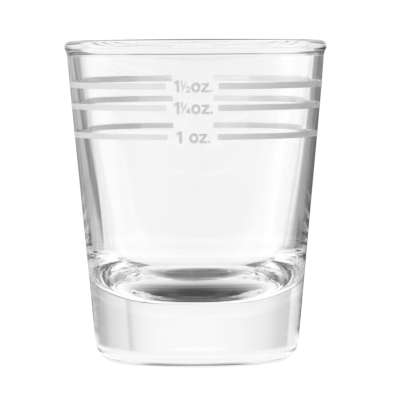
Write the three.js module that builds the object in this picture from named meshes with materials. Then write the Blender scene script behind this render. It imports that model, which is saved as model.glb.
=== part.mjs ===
// A small pressed-glass measure: one clear glass body with a tapered wall, a rounded rim
// bead, a round-cornered cup and a thick solid base, and a print of fired-on enamel outside.
// Millimetres, +Z up. The origin is on the axis, in the plane that the glass stands on, and
// the labels face -Y. Every other size follows from the driving dimensions below.
import * as THREE from 'three';

// Outer shape
const HEIGHT = 61;
const WALL_R_AT_FOOT = 18.98; // the outer wall's radius, carried down to z = 0
const WALL_SLOPE = 0.0943; // radius gained for each mm of height
const FOOT_FILLET_R = 3.9;
const STAND_INNER_R = 13; // the flat ring it stands on starts here
const DISH_DEPTH = 0.5; // hollow of the underside, inside the flat ring

// Rim bead, an ellipse that bulges past both faces of the wall
const BEAD_HALF_WIDTH = 1.58;
const BEAD_HALF_HEIGHT = 1.3;
const BEAD_OUTER_ANGLE = -Math.PI / 4; // where the bead leaves the outer wall
const BEAD_INNER_ANGLE = Math.PI * 1.28; // where it meets the cup's wall

// Cup
const CUP_FLOOR_Z = 11.9;
const CUP_CORNER_R = 13;
const CUP_CORNER_TOP_R = 17.25; // the cup's radius where the corner meets its wall
const CUP_LOWER_SLOPE = 0.17; // the cup wall's slope there; it steepens towards the rim

// Enamel print
const FILM_GAP = 0.05; // running gap between the glass and the enamel
const FILM_THICKNESS = 0.12;
const FRONT_HALF_GAP = THREE.MathUtils.degToRad(11.75); // half of the label's gap
const BACK_GAP_MIDDLE = THREE.MathUtils.degToRad(183); // the print's ends meet off centre
const BACK_HALF_GAP = THREE.MathUtils.degToRad(10.6);
const LINES = [
  { name: '1_half_oz', z: 52.75, width: 1.18 },
  { name: '1_quarter_oz', z: 48.72, width: 1.13 },
  { name: '1_oz', z: 43.32, width: 1.08 },
];

// Lettering, in plain strokes
const FIGURE = { width: 1.03, height: 2.33, stroke: 0.52 };
const SMALL_ONE = { width: 0.47, height: 1.26, stroke: 0.26 };
const SMALL_TWO = { width: 0.82, height: 1.2, stroke: 0.26 };
const SMALL_FOUR = { width: 0.88, height: 1.2, stroke: 0.22 };
const BAR = { width: 1.2, height: 1.9, stroke: 0.24 };
const LETTER_O = { width: 1.74, height: 1.92, stroke: 0.49 };
const LETTER_Z = { width: 1.43, height: 1.74, stroke: 0.42 };
const STOP_R = 0.22;

// Fineness
const TURN_STEPS = 72; // facets round the glass
const FILM_STEP = (2 * Math.PI) / TURN_STEPS;

const wallRadius = (z) => WALL_R_AT_FOOT + WALL_SLOPE * z;

// Points of an ellipse's arc, both ends included
function arc(centre, radiusX, radiusY, from, to, steps) {
  const points = [];
  for (let i = 0; i <= steps; i += 1) {
    const angle = from + ((to - from) * i) / steps;
    const x = centre.x + radiusX * Math.cos(angle);
    const y = centre.y + radiusY * Math.sin(angle);
    points.push(new THREE.Vector2(x, y));
  }
  return points;
}

// Underside: a shallow dish that starts on the axis and ends at the flat ring
function dishOutline() {
  const steps = 4;
  const points = [];
  for (let i = 0; i <= steps; i += 1) {
    const part = i / steps;
    points.push(new THREE.Vector2(STAND_INNER_R * part, DISH_DEPTH * (1 - part * part)));
  }
  return points;
}

// The fillet that is tangent to the standing plane and to the sloping wall
function footOutline() {
  const lean = Math.atan(WALL_SLOPE);
  const centreR = wallRadius(FOOT_FILLET_R) - FOOT_FILLET_R / Math.cos(lean);
  const centre = new THREE.Vector2(centreR, FOOT_FILLET_R);
  return arc(centre, FOOT_FILLET_R, FOOT_FILLET_R, -Math.PI / 2, -lean, 6);
}

// The bead, from the outer wall over the top and down to the cup's wall
function beadOutline() {
  const centreZ = HEIGHT - BEAD_HALF_HEIGHT;
  const joinZ = centreZ + BEAD_HALF_HEIGHT * Math.sin(BEAD_OUTER_ANGLE);
  const centreR = wallRadius(joinZ) - BEAD_HALF_WIDTH * Math.cos(BEAD_OUTER_ANGLE);
  const centre = new THREE.Vector2(centreR, centreZ);
  return arc(centre, BEAD_HALF_WIDTH, BEAD_HALF_HEIGHT, BEAD_OUTER_ANGLE, BEAD_INNER_ANGLE, 14);
}

// The cup, from its mouth down the gently bowed wall and round the corner to the axis
function cupOutline(mouth) {
  const lean = Math.atan(CUP_LOWER_SLOPE);
  const centreR = CUP_CORNER_TOP_R - CUP_CORNER_R * Math.cos(lean);
  const centre = new THREE.Vector2(centreR, CUP_FLOOR_Z + CUP_CORNER_R);
  const corner = arc(centre, CUP_CORNER_R, CUP_CORNER_R, -lean, -Math.PI / 2, 9);
  const foot = corner[0];
  const halfRise = (mouth.y - foot.y) / 2;
  const bow = new THREE.Vector2(foot.x + CUP_LOWER_SLOPE * halfRise, foot.y + halfRise);
  const wall = new THREE.QuadraticBezierCurve(mouth, bow, foot).getPoints(7);
  return [...wall.slice(1, -1), ...corner, new THREE.Vector2(0, CUP_FLOOR_Z)];
}

function glassBody() {
  const bead = beadOutline();
  const mouth = bead[bead.length - 1];
  const outline = [...dishOutline(), ...footOutline(), ...bead, ...cupOutline(mouth)];
  const geometry = new THREE.LatheGeometry(outline, TURN_STEPS);
  geometry.rotateX(Math.PI / 2);
  const material = new THREE.MeshStandardMaterial({
    color: 0xf4f7f6,
    roughness: 0.02,
    metalness: 0,
    transparent: true,
    opacity: 0.35,
  });
  const mesh = new THREE.Mesh(geometry, material);
  mesh.name = 'glass_body';
  return mesh;
}

// Bends a flat mark round the wall. Its x runs round the glass from the label's middle,
// its y runs up from middleZ, and its z is the height above the glass.
function wrapRound(geometry, middleZ) {
  const position = geometry.getAttribute('position');
  const turnRadius = wallRadius(middleZ);
  for (let i = 0; i < position.count; i += 1) {
    const angle = position.getX(i) / turnRadius;
    const z = middleZ + position.getY(i);
    const radius = wallRadius(z) + FILM_GAP + position.getZ(i);
    position.setXYZ(i, radius * Math.sin(angle), -radius * Math.cos(angle), z);
  }
  geometry.computeVertexNormals();
  return geometry;
}

function enamelMark(name, flatGeometry, middleZ) {
  const material = new THREE.MeshStandardMaterial({
    color: 0xd6d6d4,
    roughness: 0.5,
    metalness: 0,
  });
  const mesh = new THREE.Mesh(wrapRound(flatGeometry, middleZ), material);
  mesh.name = name;
  return mesh;
}

// One half of a graduation ring, between two angles counted from the label's middle
function lineArc(line, side, from, to) {
  const radius = wallRadius(line.z);
  const steps = Math.ceil((to - from) / FILM_STEP);
  const size = [(to - from) * radius, line.width, FILM_THICKNESS];
  const geometry = new THREE.BoxGeometry(...size, steps, 1, 1);
  geometry.translate(((from + to) / 2) * radius, 0, FILM_THICKNESS / 2);
  return enamelMark(`line_${line.name}_${side}`, geometry, line.z);
}

function polygon(corners) {
  return new THREE.Shape(corners.map(([x, y]) => new THREE.Vector2(x, y)));
}

function oneShape({ width, height, stroke }) {
  const stemX = width - stroke;
  return polygon([
    [stemX, 0],
    [width, 0],
    [width, height],
    [stemX + stroke * 0.25, height],
    [0, height * 0.82],
    [0, height * 0.66],
    [stemX, height * 0.72],
  ]);
}

function twoShape({ width, height, stroke }) {
  const outerR = width / 2;
  const innerR = outerR - stroke;
  const centreY = height - outerR;
  const hookStart = Math.PI;
  const hookEnd = -Math.PI / 4;
  const shape = new THREE.Shape();
  shape.absarc(outerR, centreY, outerR, hookStart, hookEnd, true);
  shape.lineTo(stroke * 1.3, stroke);
  shape.lineTo(width, stroke);
  shape.lineTo(width, 0);
  shape.lineTo(0, 0);
  shape.lineTo(0, stroke * 0.75);
  shape.absarc(outerR, centreY, innerR, hookEnd, hookStart, false);
  return shape;
}

function fourShape({ width, height, stroke }) {
  const stemX = width * 0.55;
  const stemEnd = stemX + stroke;
  const barY = height * 0.22;
  const barTop = barY + stroke;
  const rise = (height - barTop) / stemX;
  const holeX = stroke * 1.35;
  const holeY = barTop + stroke * 0.2;
  const shape = polygon([
    [stemX, 0],
    [stemEnd, 0],
    [stemEnd, barY],
    [width, barY],
    [width, barTop],
    [stemEnd, barTop],
    [stemEnd, height],
    [stemX, height],
    [0, barTop],
    [0, barY],
    [stemX, barY],
  ]);
  shape.holes.push(polygon([
    [holeX, holeY],
    [stemX - stroke * 0.1, holeY],
    [stemX - stroke * 0.1, holeY + (stemX - holeX) * rise * 0.8],
  ]));
  return shape;
}

function barShape({ width, height, stroke }) {
  return polygon([[0, 0], [stroke, 0], [width, height], [width - stroke, height]]);
}

function letterOShape({ width, height, stroke }) {
  const radiusX = width / 2;
  const radiusY = height / 2;
  const hole = new THREE.Path();
  hole.absellipse(radiusX, radiusY, radiusX - stroke, radiusY - stroke, 0, 2 * Math.PI);
  const shape = new THREE.Shape();
  shape.absellipse(radiusX, radiusY, radiusX, radiusY, 0, 2 * Math.PI);
  shape.holes.push(hole);
  return shape;
}

function letterZShape({ width, height, stroke }) {
  const diagonal = stroke * 1.45;
  return polygon([
    [0, 0],
    [width, 0],
    [width, stroke],
    [diagonal, stroke],
    [width, height - stroke],
    [width, height],
    [0, height],
    [0, height - stroke],
    [width - diagonal, height - stroke],
    [0, stroke],
  ]);
}

function stopShape() {
  const shape = new THREE.Shape();
  shape.absarc(STOP_R, STOP_R, STOP_R, 0, 2 * Math.PI);
  return shape;
}

// The characters of "1 oz." from the figure's left edge, and those of a fraction. Each has
// its place in mm: x from the label's middle, y from the foot of the figure.
function unitMarks(figureX, letterX) {
  const zX = letterX + LETTER_O.width + 0.15;
  const stopX = zX + LETTER_Z.width + 0.17;
  return [
    { name: 'figure_1', shape: oneShape(FIGURE), x: figureX, y: 0 },
    { name: 'letter_o', shape: letterOShape(LETTER_O), x: letterX, y: 0 },
    { name: 'letter_z', shape: letterZShape(LETTER_Z), x: zX, y: 0.05 },
    { name: 'stop', shape: stopShape(), x: stopX, y: 0.05 },
  ];
}

function fractionMarks(lowerName, lowerShape) {
  return [
    { name: 'upper_1', shape: oneShape(SMALL_ONE), x: -2.2, y: FIGURE.height - SMALL_ONE.height },
    { name: 'bar', shape: barShape(BAR), x: -2.05, y: 0.2 },
    { name: lowerName, shape: lowerShape, x: -1.15, y: 0 },
  ];
}

function label(line, marks) {
  const depth = FILM_THICKNESS;
  return marks.map((mark) => {
    const geometry = new THREE.ExtrudeGeometry(mark.shape, {
      depth,
      bevelEnabled: false,
      curveSegments: 10,
    });
    geometry.translate(mark.x, mark.y - FIGURE.height / 2, 0);
    return enamelMark(`label_${line.name}_${mark.name}`, geometry, line.z);
  });
}

const glass = new THREE.Group();
glass.name = 'measuring_shot_glass';
glass.add(glassBody());
for (const line of LINES) {
  const rightEnd = BACK_GAP_MIDDLE - BACK_HALF_GAP;
  const leftEnd = BACK_GAP_MIDDLE + BACK_HALF_GAP - 2 * Math.PI;
  glass.add(lineArc(line, 'right', FRONT_HALF_GAP, rightEnd));
  glass.add(lineArc(line, 'left', leftEnd, -FRONT_HALF_GAP));
}
const [halfLine, quarterLine, wholeLine] = LINES;
const half = [...unitMarks(-3.4, -0.17), ...fractionMarks('lower_2', twoShape(SMALL_TWO))];
const quarter = [...unitMarks(-3.4, -0.17), ...fractionMarks('lower_4', fourShape(SMALL_FOUR))];
glass.add(...label(halfLine, half));
glass.add(...label(quarterLine, quarter));
glass.add(...label(wholeLine, unitMarks(-2.95, -0.6)));

export default glass;
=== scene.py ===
"""Looks for a clear pressed-glass measure with fired-on enamel graduations.

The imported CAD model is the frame. The glass body and the enamel film are rebuilt here as fine
meshes of the same size, in metres, +Z up, with the labels facing -Y.
"""

import math

import bmesh
import bpy
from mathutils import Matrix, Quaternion, Vector, noise


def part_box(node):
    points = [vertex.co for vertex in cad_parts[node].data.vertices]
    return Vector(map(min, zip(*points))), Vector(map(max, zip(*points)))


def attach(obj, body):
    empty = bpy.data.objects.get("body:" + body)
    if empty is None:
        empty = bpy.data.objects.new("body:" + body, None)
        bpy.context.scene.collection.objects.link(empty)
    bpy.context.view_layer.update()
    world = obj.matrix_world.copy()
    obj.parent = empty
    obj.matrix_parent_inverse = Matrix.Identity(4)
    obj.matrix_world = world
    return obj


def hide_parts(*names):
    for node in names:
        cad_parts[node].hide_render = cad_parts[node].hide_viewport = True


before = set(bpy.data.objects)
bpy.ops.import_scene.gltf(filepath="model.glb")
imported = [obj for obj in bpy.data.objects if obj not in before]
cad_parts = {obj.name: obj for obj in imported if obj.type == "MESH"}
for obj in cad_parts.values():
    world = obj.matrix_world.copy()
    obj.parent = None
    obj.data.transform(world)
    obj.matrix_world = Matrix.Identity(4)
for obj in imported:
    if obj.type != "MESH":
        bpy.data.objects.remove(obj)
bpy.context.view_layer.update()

MM = 0.001

# ---- Driving dimensions, in metres and radians -------------------------------------------
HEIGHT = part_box("glass_body")[1].z
WALL_SLOPE = 0.0943  # the outer wall's radius gained for each unit of height
WALL_FOOT_RADIUS = 18.98 * MM  # the outer wall's radius, carried down to the standing plane
WALL_THICKNESS_MIN = 0.8 * MM
FOOT_FILLET = 3.9 * MM
STAND_INNER_RADIUS = 13.0 * MM
DISH_DEPTH = 0.5 * MM

BEAD_HALF_WIDTH = 1.58 * MM
BEAD_HALF_HEIGHT = 1.3 * MM
BEAD_SQUARENESS = 2.3  # 2 is an ellipse
BEAD_BULGE = 0.32 * MM  # how far the bead stands out of the wall's line
BEAD_INNER_ANGLE = math.radians(230.4)  # where the bead meets the cup's wall
FLARE_HEIGHT = 1.1 * MM  # the wall turns out to the bead over this height

CUP_FLOOR = 11.9 * MM
CUP_CORNER = 13.0 * MM
CUP_CORNER_TOP_RADIUS = 17.25 * MM
CUP_LOWER_SLOPE = 0.17

RIPPLE_HEIGHT = 0.05 * MM
RIPPLE_LENGTH = 7.0 * MM
RIPPLE_FULL = 16.0 * MM  # the ripple is whole below this height
RIPPLE_TOP = 36.0 * MM  # and gone above this one
RING_HEIGHT = 0.018 * MM
RING_PITCH = 2.4 * MM
RING_REACH = 12.0 * MM
RING_FADE = 3  # the rings fade out over the last third of their reach

FILM_LIFT = 0.006 * MM  # clears the facets of the wall, so that the enamel shows through it
FILM_PROUD = 0.036 * MM
FILM_EDGE_MAX = 0.6 * MM
FILM_SAG = 0.012 * MM  # allowed for the middle of a long outer edge, which lies inside the cone
FILM_ROUNDS = 3  # of splitting long edges
FILM_MERGE = 0.002 * MM

TURN_STEPS = 288
OUTLINE_STEP = 0.5 * MM
DISH_STEPS = 26
BEAD_STEPS = 36
FLARE_STEPS = 8


def wall_radius(z):
    """The outer wall's radius at a height."""
    return WALL_FOOT_RADIUS + WALL_SLOPE * z


def add_object(name, mesh):
    """A new object in the scene."""
    obj = bpy.data.objects.new(name, mesh)
    bpy.context.scene.collection.objects.link(obj)
    return obj


# ---- Glass body ---------------------------------------------------------------------------
def arc(centre, radius, start, end):
    """Outline points (r, z) along a circle's arc, one about every OUTLINE_STEP."""
    steps = max(4, math.ceil(abs(end - start) * radius / OUTLINE_STEP))
    angles = [start + (end - start) * i / steps for i in range(steps + 1)]
    return [
        (centre[0] + radius * math.cos(a), centre[1] + radius * math.sin(a)) for a in angles
    ]


def straight(start, end):
    """Outline points (r, z) along a line."""
    steps = max(1, math.ceil(math.dist(start, end) / OUTLINE_STEP))
    return [
        tuple(a + (b - a) * i / steps for a, b in zip(start, end)) for i in range(steps + 1)
    ]


def bezier(start, control, end):
    """Outline points (r, z) along a quadratic curve."""
    steps = math.ceil(math.dist(start, end) / OUTLINE_STEP)
    points = []
    for i in range(steps + 1):
        t = i / steps
        weights = ((1 - t) ** 2, 2 * t * (1 - t), t * t)
        r, z = (sum(w * p for w, p in zip(weights, part)) for part in zip(start, control, end))
        points.append((r, z))
    return points


def squarish(angle):
    """A point of a unit circle, pushed out towards a square."""
    return tuple(
        math.copysign(abs(part) ** (2 / BEAD_SQUARENESS), part)
        for part in (math.cos(angle), math.sin(angle))
    )


def dish_outline():
    """The hollow of the underside, from the axis to the ring that the glass stands on."""
    parts = [i / DISH_STEPS for i in range(DISH_STEPS + 1)]
    return [(STAND_INNER_RADIUS * part, DISH_DEPTH * (1 - part * part)) for part in parts]


def foot_outline():
    """The rounded foot, up to the wall."""
    lean = math.atan(WALL_SLOPE)
    centre = (wall_radius(FOOT_FILLET) - FOOT_FILLET / math.cos(lean), FOOT_FILLET)
    return arc(centre, FOOT_FILLET, -math.pi / 2, -lean)


def flare_outline(end_z):
    """The top of the wall, where it turns out smoothly to the bead's side."""
    points = []
    for i in range(FLARE_STEPS + 1):
        part = i / FLARE_STEPS
        z = end_z - FLARE_HEIGHT + FLARE_HEIGHT * part
        points.append((wall_radius(z) + BEAD_BULGE * part * part * (3 - 2 * part), z))
    return points


def bead_outline(centre_z):
    """The rim bead, from its outer side over the top to the cup."""
    centre_r = wall_radius(centre_z) + BEAD_BULGE - BEAD_HALF_WIDTH
    points = []
    for i in range(BEAD_STEPS + 1):
        out, up = squarish(BEAD_INNER_ANGLE * i / BEAD_STEPS)
        points.append((centre_r + BEAD_HALF_WIDTH * out, centre_z + BEAD_HALF_HEIGHT * up))
    return points


def cup_outline(mouth):
    """The cup's wall, which steepens towards the rim, its round corner and its floor."""
    lean = math.atan(CUP_LOWER_SLOPE)
    centre = (CUP_CORNER_TOP_RADIUS - CUP_CORNER * math.cos(lean), CUP_FLOOR + CUP_CORNER)
    corner = arc(centre, CUP_CORNER, -lean, -math.pi / 2)
    half_rise = (mouth[1] - corner[0][1]) / 2
    control = (corner[0][0] + CUP_LOWER_SLOPE * half_rise, corner[0][1] + half_rise)
    floor = straight(corner[-1], (0.0, CUP_FLOOR))
    return bezier(mouth, control, corner[0]) + corner[1:] + floor[1:]


def glass_outline():
    """The glass's half section from the underside's centre round to the cup floor's centre."""
    dish = dish_outline()
    foot = foot_outline()
    bead_z = HEIGHT - BEAD_HALF_HEIGHT
    flare = flare_outline(bead_z)
    bead = bead_outline(bead_z)
    outline = dish
    for piece in (
        straight(dish[-1], foot[0]),
        foot,
        straight(foot[-1], flare[0]),
        flare,
        bead,
        cup_outline(bead[-1]),
    ):
        outline = outline + piece[1:]
    return outline


def revolve(name, outline):
    """A closed object from a half section that starts and ends on the axis."""
    rings = outline[1:-1]
    verts = [(0.0, 0.0, outline[0][1]), (0.0, 0.0, outline[-1][1])]
    for r, z in rings:
        for k in range(TURN_STEPS):
            angle = 2 * math.pi * k / TURN_STEPS
            verts.append((r * math.cos(angle), r * math.sin(angle), z))
    faces = []
    last = 2 + (len(rings) - 1) * TURN_STEPS
    for k in range(TURN_STEPS):
        n = (k + 1) % TURN_STEPS
        faces.append((0, 2 + n, 2 + k))
        faces.append((1, last + k, last + n))
    for low in range(2, last, TURN_STEPS):
        high = low + TURN_STEPS
        for k in range(TURN_STEPS):
            n = (k + 1) % TURN_STEPS
            faces.append((low + k, low + n, high + n, high + k))
    mesh = bpy.data.meshes.new(name)
    mesh.from_pydata(verts, [], faces)
    mesh.update()
    mesh.polygons.foreach_set("use_smooth", [True] * len(mesh.polygons))
    return add_object(name, mesh)


def ripple(obj):
    """Wave the lower inside of the cup a little, as the plunger leaves pressed glass."""
    normals = [v.normal.copy() for v in obj.data.vertices]
    for v, normal in zip(obj.data.vertices, normals):
        radius = math.hypot(v.co.x, v.co.y)
        outside = radius > wall_radius(v.co.z) - WALL_THICKNESS_MIN
        if outside or v.co.z < CUP_FLOOR - RIPPLE_HEIGHT:
            continue
        fade = min(1.0, max(0.0, (RIPPLE_TOP - v.co.z) / (RIPPLE_TOP - RIPPLE_FULL)))
        wave = noise.noise(v.co / RIPPLE_LENGTH) * RIPPLE_HEIGHT
        inner = min(1.0, RING_FADE * max(0.0, 1 - radius / RING_REACH))
        rings = math.cos(2 * math.pi * radius / RING_PITCH) * RING_HEIGHT * inner
        v.co += normal * (fade * fade * wave + rings)


# ---- Enamel film --------------------------------------------------------------------------
def stand_off(v):
    """How far a vertex stands off the outer wall."""
    return math.hypot(v.co.x, v.co.y) - wall_radius(v.co.z)


def set_stand_off(v, distance):
    """Move a vertex straight in or out, to stand this far off the outer wall."""
    scale = (wall_radius(v.co.z) + distance) / math.hypot(v.co.x, v.co.y)
    v.co.x *= scale
    v.co.y *= scale


def film_from(node_name):
    """A fine copy of a CAD mark, thinned to a film that is fused to the smooth wall."""
    work = bmesh.new()
    work.from_mesh(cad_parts[node_name].data)
    offs = [stand_off(v) for v in work.verts]
    inner, outer = min(offs), max(offs)
    middle = (inner + outer) / 2
    bmesh.ops.remove_doubles(work, verts=work.verts, dist=FILM_MERGE)
    face_out = work.verts.layers.int.new("face_out")
    for v in work.verts:
        v[face_out] = stand_off(v) > middle
    for _ in range(FILM_ROUNDS):
        long_edges = [
            e for e in work.edges
            if e.calc_length() > FILM_EDGE_MAX and e.verts[0][face_out] == e.verts[1][face_out]
        ]
        if not long_edges:
            break
        bmesh.ops.subdivide_edges(work, edges=long_edges, cuts=1)
        for v in work.verts:
            v[face_out] = stand_off(v) > middle - FILM_SAG
            set_stand_off(v, outer if v[face_out] else inner)
    for v in work.verts:
        set_stand_off(v, FILM_PROUD if v[face_out] else FILM_LIFT)
    bmesh.ops.triangulate(work, faces=work.faces)
    bmesh.ops.recalc_face_normals(work, faces=work.faces)
    mesh = bpy.data.meshes.new(node_name + "_film")
    work.to_mesh(mesh)
    work.free()
    return add_object(node_name + "_film", mesh)


# ---- Materials ----------------------------------------------------------------------------
GLASS_IOR = 1.515
GLASS_WAVE_SCALE = 160
GLASS_RELIEF = 0.006 * MM
GLASS_HAZE = 0.02
GLASS_RING_SCALE = 1000
GLASS_RING_DETAIL = 3
GLASS_RING_SHARE = 5  # the rings' depth, against the waves'
GLASS_RING_FADE = 2.0 * MM  # the rings start over this height, just below the cup's floor

LINE_ENAMEL = 0.84
LETTER_ENAMEL = 0.70
# Painted light: within this half turn of the back gap the lines are painted lighter, standing in
# for a light step seen through the glass
BACK_PAINTED_LIGHT_TONE = 0.95
PAINTED_LIGHT_HALF_TURN = math.radians(29)
PAINTED_LIGHT_EDGE = math.radians(0.6)
BACK_GAP_TURN = math.radians(-3)  # the middle of the print's gap, from +Y towards +X
GRAIN_SCALE = 5000
GRAIN_DETAIL = 3
GRAIN_SPECK = 0.03
GRAIN_STRENGTH = 0.35
GRAIN_RELIEF = 0.004 * MM
ENAMEL_ROUGHNESS = (0.38, 0.55)
ENAMEL_TRANSLUCENT = 0.28  # the share of light that passes through the film
TRANSLUCENT_COLOUR = (0.96, 0.96, 0.96, 1)
WHITE_COLOUR = (1, 1, 1, 1)


class Nodes:
    """Small helpers that add and join shader nodes. A value is a number or a socket."""

    def __init__(self, tree):
        self.tree = tree

    def add(self, kind):
        return self.tree.nodes.new(kind)

    def set(self, socket, value):
        if isinstance(value, (int, float)):
            socket.default_value = value
        else:
            self.tree.links.new(value, socket)

    def math(self, operation, first, second=0.0):
        node = self.add("ShaderNodeMath")
        node.operation = operation
        self.set(node.inputs[0], first)
        self.set(node.inputs[1], second)
        return node.outputs[0]

    def product(self, first, *others):
        for other in others:
            first = self.math("MULTIPLY", first, other)
        return first

    def total(self, first, *others):
        for other in others:
            first = self.math("ADD", first, other)
        return first

    def ease(self, value, edge):
        """0 before the edge's start, 1 past its end, smooth between."""
        node = self.add("ShaderNodeMapRange")
        node.interpolation_type = "SMOOTHSTEP"
        self.set(node.inputs["Value"], value)
        self.set(node.inputs["From Min"], edge[0])
        self.set(node.inputs["From Max"], edge[1])
        return node.outputs["Result"]

    def mix(self, factor, first, second):
        node = self.add("ShaderNodeMix")
        self.set(node.inputs[0], factor)
        self.set(node.inputs[2], first)
        self.set(node.inputs[3], second)
        return node.outputs[0]

    def step(self, value, edge, before, after):
        """One level before an edge and another past it."""
        return self.mix(self.ease(value, edge), before, after)

    def split(self, vector):
        """A vector's x, y and z."""
        node = self.add("ShaderNodeSeparateXYZ")
        self.set(node.inputs[0], vector)
        return node.outputs

    def reach(self, x, y):
        """The distance from the glass's axis."""
        squares = self.total(self.product(x, x), self.product(y, y))
        return self.math("SQRT", squares)

    def turn(self, x, y):
        """The azimuth from +Y towards +X."""
        return self.math("ARCTAN2", x, y)

    def by_azimuth(self, x, y, stops):
        """A brightness by azimuth, from (degrees, brightness) stops."""
        part = self.math("DIVIDE", self.turn(x, y), 2 * math.pi)
        ramp = self.add("ShaderNodeValToRGB")
        self.set(ramp.inputs[0], self.total(part, 0.5))
        points = ramp.color_ramp.elements
        points[0].position = 0
        points[1].position = 1
        for degrees, _ in stops[1:-1]:
            points.new(degrees / 360 + 0.5)
        for point, (_, level) in zip(points, stops):
            point.color = (level, level, level, 1)
        return ramp.outputs[0]


def new_material(name):
    """A material, and the helper that builds its nodes."""
    material = bpy.data.materials.new(name)
    material.use_nodes = True
    return material, Nodes(material.node_tree)


def glass_material():
    """Colourless soda-lime glass, with the faint waves and turned rings that pressing leaves."""
    material, build = new_material("clear_glass")
    place = build.add("ShaderNodeTexCoord").outputs["Object"]
    x, y, z = build.split(place)
    rings = build.add("ShaderNodeTexNoise")
    rings.noise_dimensions = "1D"
    build.set(rings.inputs["W"], build.reach(x, y))
    build.set(rings.inputs["Scale"], GLASS_RING_SCALE)
    build.set(rings.inputs["Detail"], GLASS_RING_DETAIL)
    waves = build.add("ShaderNodeTexNoise")
    build.set(waves.inputs["Vector"], place)
    build.set(waves.inputs["Scale"], GLASS_WAVE_SCALE)
    above_floor = build.ease(z, (CUP_FLOOR - GLASS_RING_FADE, CUP_FLOOR))
    below_wall = build.ease(z, (RIPPLE_TOP, RIPPLE_FULL))
    ring_depth = build.product(above_floor, below_wall, GLASS_RING_SHARE, rings.outputs[0])
    bump = build.add("ShaderNodeBump")
    build.set(bump.inputs["Strength"], 1.0)
    build.set(bump.inputs["Distance"], GLASS_RELIEF)
    build.set(bump.inputs["Height"], build.total(ring_depth, waves.outputs[0]))
    shader = material.node_tree.nodes["Principled BSDF"]
    shader.inputs["Base Color"].default_value = WHITE_COLOUR
    shader.inputs["IOR"].default_value = GLASS_IOR
    shader.inputs["Transmission Weight"].default_value = 1.0
    build.set(shader.inputs["Roughness"], build.mix(waves.outputs[0], 0.0, GLASS_HAZE))
    build.set(shader.inputs["Normal"], bump.outputs[0])
    return material


def enamel_material(name, plain_tone):
    """Fired-on white enamel with a satin grain, with painted light that makes it lighter near
    its ends at the back.
    """
    material, build = new_material(name)
    place = build.add("ShaderNodeTexCoord").outputs["Object"]
    x, y, _ = build.split(place)
    from_gap = build.math("ABSOLUTE", build.math("SUBTRACT", build.turn(x, y), BACK_GAP_TURN))
    # painted light: 1 near the back gap, where the enamel is painted lighter
    painted_light = build.ease(from_gap, (PAINTED_LIGHT_HALF_TURN + PAINTED_LIGHT_EDGE, PAINTED_LIGHT_HALF_TURN))
    grain_node = build.add("ShaderNodeTexNoise")
    build.set(grain_node.inputs["Vector"], place)
    build.set(grain_node.inputs["Scale"], GRAIN_SCALE)
    build.set(grain_node.inputs["Detail"], GRAIN_DETAIL)
    grain = grain_node.outputs[0]
    tone = build.mix(painted_light, plain_tone, BACK_PAINTED_LIGHT_TONE)
    speck = build.mix(grain, -GRAIN_SPECK, GRAIN_SPECK)
    bump = build.add("ShaderNodeBump")
    build.set(bump.inputs["Strength"], GRAIN_STRENGTH)
    build.set(bump.inputs["Distance"], GRAIN_RELIEF)
    build.set(bump.inputs["Height"], grain)
    shader = material.node_tree.nodes["Principled BSDF"]
    build.set(shader.inputs["Base Color"], build.total(tone, speck))
    build.set(shader.inputs["Roughness"], build.mix(grain, *ENAMEL_ROUGHNESS))
    build.set(shader.inputs["Normal"], bump.outputs[0])
    translucent = build.add("ShaderNodeBsdfTranslucent")
    translucent.inputs["Color"].default_value = TRANSLUCENT_COLOUR
    both = build.add("ShaderNodeMixShader")
    build.set(both.inputs[0], ENAMEL_TRANSLUCENT)
    build.set(both.inputs[1], shader.outputs[0])
    build.set(both.inputs[2], translucent.outputs[0])
    output = material.node_tree.nodes["Material Output"]
    build.set(output.inputs["Surface"], both.outputs[0])
    return material


# ---- Pieces -------------------------------------------------------------------------------
glass = revolve("glass_body_fine", glass_outline())
ripple(glass)
glass.data.materials.append(glass_material())
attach(glass, "root")
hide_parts("glass_body")

enamels = {
    "line": enamel_material("enamel_lines", LINE_ENAMEL),
    "label": enamel_material("enamel_lettering", LETTER_ENAMEL),
}
for node_name in sorted(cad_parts):
    if node_name == "glass_body":
        continue
    film = film_from(node_name)
    film.data.materials.append(enamels[node_name.split("_")[0]])
    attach(film, "root")
    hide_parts(node_name)


# ---- Camera -------------------------------------------------------------------------------
CAMERA_DISTANCE = 0.845
CAMERA_HEIGHT = 0.0710
CAMERA_AZIMUTH = math.radians(1.65)
CAMERA_ROLL = math.radians(0.3)
CAMERA_LENS = 400.2  # millimetres, on a sensor 36 mm wide
CAMERA_SENSOR = 36
CAMERA_CLIP = (0.01, 20)
AIM_HEIGHT = 0.0306
AIM_RIGHT = 0.0007


def make_camera():
    """A long lens a little above the rim, almost straight in front of the labels."""
    data = bpy.data.cameras.new("camera")
    data.lens = CAMERA_LENS
    data.sensor_width = CAMERA_SENSOR
    data.clip_start, data.clip_end = CAMERA_CLIP
    obj = add_object("camera", data)
    side = Vector((math.cos(CAMERA_AZIMUTH), math.sin(CAMERA_AZIMUTH), 0))
    back = Vector((math.sin(CAMERA_AZIMUTH), -math.cos(CAMERA_AZIMUTH), 0))
    obj.location = back * CAMERA_DISTANCE + Vector((0, 0, CAMERA_HEIGHT))
    aim = side * AIM_RIGHT + Vector((0, 0, AIM_HEIGHT))
    look = (aim - obj.location).to_track_quat("-Z", "Y")
    obj.rotation_mode = "QUATERNION"
    obj.rotation_quaternion = look @ Quaternion((0, 0, 1), -CAMERA_ROLL)
    bpy.context.scene.camera = obj


# ---- Studio -------------------------------------------------------------------------------
# The camera itself sees a plain white floor in a plain white room. Light Path nodes show other
# light a fuller studio, because clear glass shows mostly its surroundings: light that the glass
# has bent or mirrored finds bright and grey walls, a dim ceiling and a table with grey ends,
# and light that the enamel scatters finds a soft key light at the front left and a back light.
WHITE = 1.05
ONCE = (0.2, 0.8)  # turns a count of bounces into a switch: 0 for none, 1 for one or more
LIGHT_BOUNCES = 20  # light is mirrored many times inside the thick foot before it leaves

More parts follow.
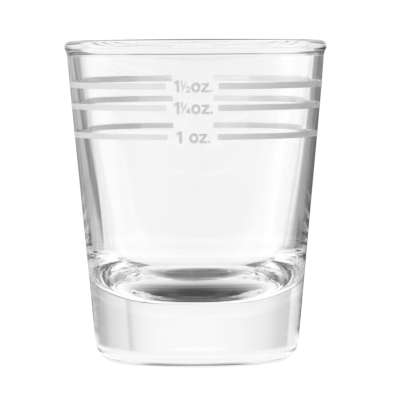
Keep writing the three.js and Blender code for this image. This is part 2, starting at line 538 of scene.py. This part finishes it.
# The walls: azimuth in degrees from +Y towards +X, and brightness
LOW_WALL = (
    (-180, 0.10),
    (-135, 0.48),
    (-84, 0.45),
    (-72, 0.75),
    (-66, 0.86),
    (-55, 0.86),
    (-53, 0.61),
    (-42, 0.67),
    (-33, 0.80),
    (-20, 0.88),
    (-8, 0.92),
    (12, 0.92),
    (20, 0.87),
    (25, 0.80),
    (28, 0.62),
    (30, 0.80),
    (44, 0.68),
    (52, 0.50),
    (60, 0.40),
    (74, 0.25),
    (84, 0.16),
    (104, 0.16),
    (112, 0.45),
    (135, 0.48),
    (180, 0.10),
)
HIGH_WALL = (
    (-180, 0.10),
    (-145, 0.10),
    (-120, 0.27),
    (-108, 0.44),
    (-97, 0.82),
    (-80, 0.90),
    (80, 0.90),
    (97, 0.80),
    (106, 0.52),
    (126, 0.50),
    (145, 0.10),
    (180, 0.10),
)
WALL_CHANGE = (math.radians(4), math.radians(9))  # the elevation where low turns to high
CEILING = 0.12
CEILING_EDGE = (math.radians(48), math.radians(66))
CEILING_DROP = math.radians(22)  # the ceiling comes down lower straight behind
CEILING_DROP_TURN = (math.radians(50), math.radians(15))

# The soft light on the enamel
KEY_AZIMUTH = math.radians(-155)
KEY_LIGHT = 2.35
BACK_LIGHT = 1.30
FILL_LIGHT = 0.05
TABLE_LIGHT = 0.35
THROUGH_GLASS = 2.4  # makes up for the light that thick clear glass keeps from the enamel
THROUGH_GLASS_CROSSINGS = (0.5, 1.5)

# The floor, as the glass shows it. An edge is where a change starts and where it is complete,
# in metres from the axis.
FLOOR_RADIUS = 1.6
FLOOR_SIDES = 128
FLOOR_DROP = 0.02 * MM  # keeps the floor clear of the glass's foot
FLOOR_LEVEL = 0.98
# Painted shade: the floor under the glass is dark as the glass shows it
UNDER_GLASS_PAINTED_SHADE = 0.06
UNDER_GLASS_SHADE_EDGE = (0.008, 0.021)

# The table, which light mirrored inside the glass finds
TABLE_NEAR_EDGE = (0.045, 0.065)  # white inside this
TABLE_HALVES_EDGE = (-0.010, 0.010)
TABLE_FRONT = 0.15
TABLE_FRONT_EDGE = (0.030, 0.060)
TABLE_FRONT_LEFT = 0.80
TABLE_FRONT_LEFT_SLANT = 1.73
TABLE_FRONT_LEFT_EDGE = (-0.005, 0.005)
LEFT_SLANT = 0.5
LEFT_TONES = (0.54, 0.20, 0.40)  # going outwards
LEFT_EDGES = ((0.044, 0.064), (0.075, 0.125))
RIGHT_SLANT = 0.708
RIGHT_TONES = (0.22, 0.36, 0.90)  # going outwards
RIGHT_EDGES = ((-0.030, 0.020), (0.022, 0.054))
RIGHT_CLOSE = 0.09
RIGHT_CLOSE_EDGE = (0.020, 0.005)
RIGHT_CLOSE_REACH = (0.135, 0.105)

# The shade on the floor behind, which light finds after the rim
RIM_SHADE = 0.1
RIM_SHADE_INNER = (0.080, 0.092)
RIM_SHADE_OUTER = (0.135, 0.120)
RIM_SHADE_TURN = (math.radians(32), math.radians(22))
RIM_CROSSINGS = (3.5, 2.5)  # only light that has crossed few surfaces
RIM_START = 0.022  # such light leaves the rim about this far from the axis
RIM_HEIGHT_SQUARED = (0.0016, 0.0026)  # and at least 40 to 51 mm up, squared here


def enamel_light(build, x, y, path):
    """The soft light on the enamel, by direction."""
    toward_key = build.product(x, math.sin(KEY_AZIMUTH))
    toward_key = build.total(toward_key, build.product(y, math.cos(KEY_AZIMUTH)))
    key = build.product(build.math("MAXIMUM", toward_key, 0.0), KEY_LIGHT)
    back = build.product(build.math("MAXIMUM", y, 0.0), BACK_LIGHT)
    crossings = path.outputs["Transmission Depth"]
    gain = build.step(crossings, THROUGH_GLASS_CROSSINGS, 1.0, THROUGH_GLASS)
    return build.product(build.total(key, back, FILL_LIGHT), gain)


def make_world():
    """The room's walls and ceiling."""
    world = bpy.data.worlds.new("studio")
    bpy.context.scene.world = world
    world.use_nodes = True
    world.cycles.sampling_method = "NONE"
    build = Nodes(world.node_tree)
    path = build.add("ShaderNodeLightPath")
    x, y, z = build.split(build.add("ShaderNodeTexCoord").outputs["Generated"])
    rise = build.math("ARCSINE", z)
    low = build.by_azimuth(x, y, LOW_WALL)
    high = build.by_azimuth(x, y, HIGH_WALL)
    wall = build.step(rise, WALL_CHANGE, low, high)
    behind = build.ease(build.math("ABSOLUTE", build.turn(x, y)), CEILING_DROP_TURN)
    height = build.total(rise, build.product(behind, CEILING_DROP))
    level = build.step(height, CEILING_EDGE, wall, CEILING)
    soft = enamel_light(build, x, y, path)
    level = build.step(path.outputs["Diffuse Depth"], ONCE, level, soft)
    level = build.mix(path.outputs["Is Camera Ray"], level, 1.0)
    background = world.node_tree.nodes["Background"]
    background.inputs["Color"].default_value = WHITE_COLOUR
    build.set(background.inputs["Strength"], build.product(level, WHITE))


def table_level(build, x, y, reach):
    """The table that light mirrored inside the glass finds: white, with grey ends."""
    toward = build.product(y, -1)
    out_left = build.math("SUBTRACT", build.product(toward, LEFT_SLANT), x)
    left = build.step(out_left, LEFT_EDGES[1], LEFT_TONES[1], LEFT_TONES[2])
    left = build.step(out_left, LEFT_EDGES[0], LEFT_TONES[0], left)
    out_right = build.math("SUBTRACT", x, build.product(y, RIGHT_SLANT))
    right = build.step(out_right, RIGHT_EDGES[0], RIGHT_TONES[0], RIGHT_TONES[1])
    close = build.ease(reach, RIGHT_CLOSE_REACH)
    close = build.product(close, build.ease(out_right, RIGHT_CLOSE_EDGE))
    right = build.mix(close, right, RIGHT_CLOSE)
    right = build.step(out_right, RIGHT_EDGES[1], right, RIGHT_TONES[2])
    level = build.step(x, TABLE_HALVES_EDGE, left, right)
    front_left = build.math("SUBTRACT", build.product(toward, TABLE_FRONT_LEFT_SLANT), x)
    level = build.step(front_left, TABLE_FRONT_LEFT_EDGE, level, TABLE_FRONT_LEFT)
    level = build.step(toward, TABLE_FRONT_EDGE, level, TABLE_FRONT)
    return build.step(reach, TABLE_NEAR_EDGE, 1.0, level)


def rim_shade(build, x, y, reach, path):
    """The share of light left by the shade behind, on light that comes down from the rim."""
    ring = build.product(build.ease(reach, RIM_SHADE_INNER), build.ease(reach, RIM_SHADE_OUTER))
    few = build.ease(path.outputs["Transmission Depth"], RIM_CROSSINGS)
    behind = build.ease(build.math("ABSOLUTE", build.turn(x, y)), RIM_SHADE_TURN)
    length = path.outputs["Ray Length"]
    run = build.math("SUBTRACT", reach, RIM_START)
    drop = build.math("SUBTRACT", build.product(length, length), build.product(run, run))
    from_rim = build.ease(drop, RIM_HEIGHT_SQUARED)
    return build.mix(build.product(ring, few, behind, from_rim), 1.0, RIM_SHADE)


def make_floor():
    """A plain pale floor, with the table and the shades that only the glass shows."""
    bpy.ops.mesh.primitive_circle_add(
        vertices=FLOOR_SIDES, radius=FLOOR_RADIUS, fill_type="NGON"
    )
    floor = bpy.context.object
    floor.name = "floor"
    floor.location.z = -FLOOR_DROP
    material, build = new_material("floor_white")
    material.cycles.emission_sampling = "NONE"
    path = build.add("ShaderNodeLightPath")
    x, y, _ = build.split(build.add("ShaderNodeNewGeometry").outputs["Position"])
    reach = build.reach(x, y)
    table = table_level(build, x, y, reach)
    level = build.step(path.outputs["Glossy Depth"], ONCE, FLOOR_LEVEL, table)
    level = build.product(level, rim_shade(build, x, y, reach, path))
    # painted shade on the floor under the glass
    level = build.step(reach, UNDER_GLASS_SHADE_EDGE, UNDER_GLASS_PAINTED_SHADE, level)
    level = build.step(path.outputs["Diffuse Depth"], ONCE, level, TABLE_LIGHT)
    level = build.mix(path.outputs["Is Camera Ray"], level, 1.0)
    light = build.add("ShaderNodeEmission")
    build.set(light.inputs["Strength"], build.product(level, WHITE))
    output = material.node_tree.nodes["Material Output"]
    build.set(output.inputs["Surface"], light.outputs[0])
    floor.data.materials.append(material)


make_camera()
make_floor()
make_world()
scene = bpy.context.scene
scene.view_settings.view_transform = "Standard"
scene.cycles.max_bounces = LIGHT_BOUNCES
scene.cycles.glossy_bounces = LIGHT_BOUNCES
scene.cycles.transmission_bounces = LIGHT_BOUNCES
